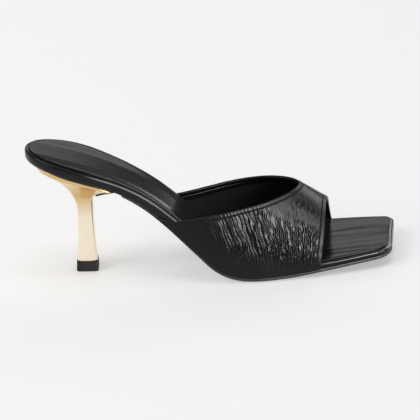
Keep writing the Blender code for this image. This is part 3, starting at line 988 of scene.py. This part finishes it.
collar_seam = seam_line(from_collar, HEM_COLLAR, range(ROWS + 1))
front_seam = seam_line(from_front, HEM_FRONT, range(ROWS, -1, -1))
print("seams:", len(collar_seam), "and", len(front_seam), "points")

# %% [markdown]
# Leather crinkles where it is pressed together, and stays smooth where it is stretched over the ridge and
# along the hems. One amount for all of it would look printed, so soft patches say how strong it is where.

# %% Where the leather crinkles
FAINT_CRINKLE, HEM_CRINKLE, WING_CRINKLE = 0.08, 0.3, 0.4
COLLAR_CLEAR, COLLAR_FADE, FRONT_CLEAR, FRONT_FADE, WING_CLEAR, WING_FADE = 2.4, 2.0, 2.8, 1.5, 114.0, 12.0
Patch = namedtuple("Patch", "x around wide high amount")
PATCHES = (
    Patch(x=167.0, around=19.0, wide=25.0, high=14.0, amount=1.0),
    Patch(x=143.0, around=29.0, wide=13.0, high=8.0, amount=0.9),
    Patch(x=126.0, around=25.0, wide=9.0, high=9.0, amount=0.9),
    Patch(x=132.0, around=15.0, wide=8.0, high=9.0, amount=0.9),
    Patch(x=113.0, around=16.0, wide=9.0, high=9.0, amount=0.35),
    Patch(x=172.0, around=42.0, wide=16.0, high=10.0, amount=0.35),
    Patch(x=184.0, around=64.0, wide=13.0, high=12.0, amount=0.3),
    Patch(x=176.0, around=98.0, wide=28.0, high=17.0, amount=1.0),
    Patch(x=144.0, around=100.0, wide=16.0, high=12.0, amount=0.9),
    Patch(x=120.0, around=106.0, wide=9.0, high=9.0, amount=0.5),
)
for vert in vamp.verts:
    total = FAINT_CRINKLE
    for patch in PATCHES:
        dx = (vert[flat_x] - patch.x) / patch.wide
        dy = (vert[flat_y] - patch.around) / patch.high
        total = max(total, patch.amount * math.exp(-((dx * dx + dy * dy) ** 1.5)))
    hem = ease((vert[from_collar] - COLLAR_CLEAR) / COLLAR_FADE)
    hem *= ease((vert[from_front] - FRONT_CLEAR) / FRONT_FADE)
    rear = ease((vert[flat_x] - WING_CLEAR) / WING_FADE)
    vert[crinkle_at] = total * between(HEM_CRINKLE, 1.0, hem) * between(WING_CRINKLE, 1.0, rear)
print("crinkle:", len(PATCHES), "patches")

# %% [markdown]
# A few creases are large enough to bend the highlights, so they belong in the mesh. Each is a soft ridge or
# trough along a line on the flat cut. A simulation would place them by chance, and here they have a place.

# %% Main creases, listed one by one
Crease = namedtuple("Crease", "x around to_x to_around wide rise")
CREASES = (
    Crease(x=124.0, around=28.0, to_x=139.0, to_around=9.0, wide=2.4, rise=0.35),
    Crease(x=133.0, around=26.0, to_x=147.0, to_around=7.0, wide=3.4, rise=-0.4),
    Crease(x=142.5, around=7.0, to_x=148.0, to_around=16.0, wide=1.3, rise=0.2),
    Crease(x=141.0, around=33.0, to_x=156.0, to_around=14.0, wide=2.6, rise=0.12),
    Crease(x=151.0, around=27.0, to_x=160.0, to_around=8.0, wide=1.8, rise=-0.12),
    Crease(x=163.0, around=30.0, to_x=160.0, to_around=10.0, wide=2.0, rise=0.1),
    Crease(x=171.0, around=30.0, to_x=167.0, to_around=9.0, wide=1.8, rise=-0.1),
    Crease(x=176.0, around=28.0, to_x=177.0, to_around=8.0, wide=2.0, rise=0.1),
    Crease(x=182.0, around=30.0, to_x=184.0, to_around=12.0, wide=1.6, rise=-0.1),
    Crease(x=158.0, around=37.0, to_x=176.0, to_around=33.0, wide=2.6, rise=-0.15),
    Crease(x=164.0, around=47.0, to_x=185.0, to_around=45.0, wide=4.0, rise=-0.25),
    Crease(x=108.0, around=18.0, to_x=116.0, to_around=6.0, wide=2.2, rise=-0.15),
    Crease(x=126.0, around=100.0, to_x=142.0, to_around=116.0, wide=2.8, rise=-0.35),
    Crease(x=136.0, around=96.0, to_x=152.0, to_around=114.0, wide=2.4, rise=0.3),
    Crease(x=150.0, around=92.0, to_x=164.0, to_around=112.0, wide=2.2, rise=-0.25),
    Crease(x=168.0, around=90.0, to_x=172.0, to_around=114.0, wide=2.2, rise=0.25),
    Crease(x=180.0, around=92.0, to_x=180.0, to_around=114.0, wide=2.0, rise=-0.25),
    Crease(x=190.0, around=94.0, to_x=188.0, to_around=112.0, wide=2.0, rise=0.2),
)


def crease_rise(x, way):
    """Height of the listed creases at a place of the cut."""
    total = 0.0
    for row in CREASES:
        along = Vector((row.to_x - row.x, row.to_around - row.around))
        off = Vector((x - row.x, way - row.around))
        share = min(max(off.dot(along) / along.length_squared, 0.0), 1.0)
        away = (off - along * share).length / row.wide
        total += row.rise * (1 - abs(2 * share - 1) ** 3) * math.exp(-away * away)
    return total


print("creases:", len(CREASES))

# %% [markdown]
# The leather is folded over at its edges. The Solidify modifier gives a wall with square edges and one
# thickness, but the wings are pared. So the lining is a copy of the face moved in by the local thickness, and
# the two rims are bridged. The strip between them is then cut and bulged out into a round fold.

# %% Fold the edges and close the wall
CREASE_CLEAR, CREASE_FADE = 1.0, 4.0
rim = [v for v in vamp.verts if v.is_boundary]
for i, vert in enumerate(rim):
    vert[place] = i + 1.0
outward = {}
for vert in rim:
    lean_out = Vector()
    for edge in vert.link_edges:
        if edge.is_boundary:
            face = edge.link_faces[0]
            middle = (edge.verts[0].co + edge.verts[1].co) / 2
            along = (edge.verts[1].co - edge.verts[0].co).normalized()
            side = along.cross(face.normal)
            if side.dot(middle - face.calc_center_median()) < 0:
                side.negate()
            lean_out += side
    outward[round(vert[place])] = lean_out.normalized()
outer_rim = [e for e in vamp.edges if e.is_boundary]
copy = bmesh.ops.duplicate(vamp, geom=vamp.verts[:] + vamp.edges[:] + vamp.faces[:])
inner_faces = [item for item in copy["geom"] if isinstance(item, bmesh.types.BMFace)]
inner_verts = [item for item in copy["geom"] if isinstance(item, bmesh.types.BMVert)]
for vert in inner_verts:
    vert.co -= vert.normal * wall_at(vert[flat_x]) * MM
for vert in net.values():
    hem = ease((vert[from_collar] - CREASE_CLEAR) / CREASE_FADE)
    hem *= ease((vert[from_front] - CREASE_CLEAR) / CREASE_FADE)
    vert.co += vert.normal * crease_rise(vert[flat_x], vert[flat_y]) * hem * MM
bmesh.ops.reverse_faces(vamp, faces=inner_faces)
inner_edges = [item for item in copy["geom"] if isinstance(item, bmesh.types.BMEdge)]
inner_rim = [edge for edge in inner_edges if edge.is_boundary]
bridge = bmesh.ops.bridge_loops(vamp, edges=outer_rim + inner_rim)["faces"]
strip = set(bridge)
rungs = dict.fromkeys(e for f in bridge for e in f.edges if strip.issuperset(e.link_faces))
print("fold:", len(bridge), "faces,", len(rungs), "rungs")

# %% Round the fold
FOLD_CUTS, FOLD_OUT, FOOT_OUT, HEM_NEAR, LINING_FROM = 5, 0.55, 0.1, 0.6, 6.0
ends = {}
for edge in rungs:
    a, b = edge.verts
    if b.index < a.index:
        a, b = b, a
    ends[round(a[place])] = (a.co.copy(), b.co.copy())
cut = bmesh.ops.subdivide_edges(vamp, edges=list(rungs), cuts=FOLD_CUTS, use_grid_fill=True)
for item in cut["geom_inner"]:
    if not isinstance(item, bmesh.types.BMVert):
        continue
    key = round(item[place])
    face_end, lining_end = ends[key]
    share = (item.co - face_end).length / (lining_end - face_end).length
    turn = math.pi * share
    foot_edge = min(item[from_collar], item[from_front]) > HEM_NEAR
    out = FOOT_OUT if foot_edge else FOLD_OUT
    middle = (face_end + lining_end) / 2
    item.co = middle + (face_end - lining_end) / 2 * math.cos(turn)
    item.co += outward[key] * out * MM * math.sin(turn)
uv = vamp.loops.layers.uv.new("leather")
for face in vamp.faces:
    for loop in face.loops:
        loop[uv].uv = (loop.vert[flat_x] * MM, loop.vert[flat_y] * MM)
for face in inner_faces:
    if min(min(v[from_collar], v[from_front]) for v in face.verts) > LINING_FROM:
        face.material_index = 1
finished(vamp, "vamp", "upper", "upper_patent", vamp_patent, blacks["lining_black"])

# %% [markdown]
# ## Stitches
# A single row of black thread runs a little in from the collar and from the toe opening. A bevelled curve
# would look like piping, so every stitch is one small rounded bead, laid along the line and sunk halfway into
# the leather. A bead has few faces, because there are hundreds of them.

# %% Stitch rows
STITCH_LONG, STITCH_PITCH, STITCH_THICK = 1.7, 2.4, 0.36
bead = bmesh.new()
bmesh.ops.create_uvsphere(bead, u_segments=8, v_segments=6, radius=0.5)
bead_mesh = bpy.data.meshes.new("bead")
bead.to_mesh(bead_mesh)
bead.free()


def stitch_row(bm, seam):
    """Beads at an even pitch along a seam of (point, normal)."""
    ahead, made = 0.0, 0
    for (a, up), (b, _) in zip(seam, seam[1:]):
        step = (b - a).length / MM
        along = (b - a).normalized()
        while ahead < step:
            up = (up - along * up.dot(along)).normalized()
            turn = Matrix((along, up.cross(along), up)).transposed().to_4x4()
            turn.translation = a.lerp(b, ahead / step)
            size = Matrix.Diagonal((STITCH_LONG * MM, STITCH_THICK * MM, STITCH_THICK * MM, 1.0))
            first = len(bm.verts)
            bm.from_mesh(bead_mesh)
            bm.verts.ensure_lookup_table()
            bmesh.ops.transform(bm, matrix=turn @ size, verts=bm.verts[first:])
            ahead += STITCH_PITCH
            made += 1
        ahead -= step
    return made


stitches = bmesh.new()
count = stitch_row(stitches, collar_seam) + stitch_row(stitches, front_seam)
print(count, "stitches")
finished(stitches, "hem_stitches", None, "upper_patent", blacks["thread_black"])

# %% [markdown]
# ## Studio
# The shoe stands on a pale floor that glows a little, like a light table, so it stays even and the shadow
# stays soft. A brighter lamp could whiten the floor too, but it would also flood the black leather.

# %% Floor
FLOOR_WHITE, FLOOR_GLOW = 0.9, 0.42
sweep = bmesh.new()
bmesh.ops.create_grid(sweep, x_segments=8, y_segments=8, size=4.0)
floor_mesh = bpy.data.meshes.new("floor")
sweep.to_mesh(floor_mesh)
sweep.free()
floor = bpy.data.objects.new("floor", floor_mesh)
bpy.context.collection.objects.link(floor)
floor_pale = finish_of(
    "floor_pale",
    (FLOOR_WHITE,) * 3,
    0.9,
    Specular_IOR_Level=0.0,
    Emission_Color=(1.0, 1.0, 1.0, 1.0),
    Emission_Strength=FLOOR_GLOW,
)[0]
floor_mesh.materials.append(floor_pale)
print("floor:", len(floor_mesh.polygons), "faces")

# %% [markdown]
# Black patent shows its lamps more than its colour. The key and the side lamp draw the highlights on the
# crinkles, the rim lamp lights the ridge, and the backdrop shines on the sock and the insole's edge. Light
# linking keeps key, side and rim off the floor, where each would draw a shadow of its own.

# %% Lights
WORLD_GLOW = 0.14
world = bpy.data.worlds.new("studio")
bpy.context.scene.world = world
world.use_nodes = True
sky = world.node_tree.nodes["Background"]
sky.inputs["Color"].default_value = (1.0, 1.0, 1.0, 1.0)
sky.inputs["Strength"].default_value = WORLD_GLOW
Lamp = namedtuple("Lamp", "name place aim wide long power")
LAMPS = (
    Lamp("overhead", (0.0, 0.1, 3.0), (0.0, 0.0, 0.0), 1.2, 1.2, 8.0),
    Lamp("strip", (0.0, -0.6, 3.0), (0.0, 0.0, 0.0), 2.6, 0.4, 6.0),
    Lamp("key", (1.69, -2.41, 1.4), (0.03, 0.0, 0.03), 1.4, 1.6, 125.0),
    Lamp("side", (2.49, -1.21, 2.15), (0.03, 0.0, 0.03), 2.6, 1.4, 73.0),
    Lamp("fill", (-2.7, -1.0, 1.9), (0.0, 0.0, 0.0), 2.2, 2.0, 40.0),
    Lamp("rim", (2.53, 1.77, 1.64), (0.03, 0.0, 0.03), 1.6, 1.4, 18.0),
    Lamp("backdrop", (1.1, 3.1, 2.0), (0.0, 0.0, 0.05), 6.0, 1.3, 34.0),
)
for lamp in LAMPS:
    light = bpy.data.lights.new(lamp.name, "AREA")
    light.shape = "RECTANGLE"
    light.size, light.size_y, light.energy = lamp.wide, lamp.long, lamp.power
    holder = bpy.data.objects.new(lamp.name, light)
    holder.location = lamp.place
    holder.rotation_euler = (Vector(lamp.aim) - Vector(lamp.place)).to_track_quat("-Z", "Y").to_euler()
    bpy.context.collection.objects.link(holder)
shielded = bpy.data.collections.new("shielded_floor")
shielded.objects.link(floor)
shielded.collection_objects[0].light_linking.link_state = "EXCLUDE"
for name in ("key", "side", "rim"):
    bpy.data.objects[name].light_linking.receiver_collection = shielded
print("lights:", len(LAMPS))

# %% [markdown]
# The camera stands where the photograph was taken from: a little above the shoe and a little towards the
# heel, with a long lens so that the toe and the heel keep their true proportions.

# %% Camera
AIM = Vector((-0.00695, -0.0103, 0.03856))
AZIMUTH, ELEVATION, DISTANCE, LENS = math.radians(-7.5), math.radians(22.5), 0.95, 128.9
back = Vector((math.sin(AZIMUTH), -math.cos(AZIMUTH), math.tan(ELEVATION))) * math.cos(ELEVATION)
eye = bpy.data.cameras.new("camera")
eye.lens = LENS
camera = bpy.data.objects.new("camera", eye)
camera.location = AIM + back * DISTANCE
camera.rotation_euler = (-back).to_track_quat("-Z", "Y").to_euler()
bpy.context.collection.objects.link(camera)
bpy.context.scene.camera = camera
bpy.context.scene.view_settings.view_transform = "Standard"
print("camera:", LENS, "mm lens,", DISTANCE, "m away")
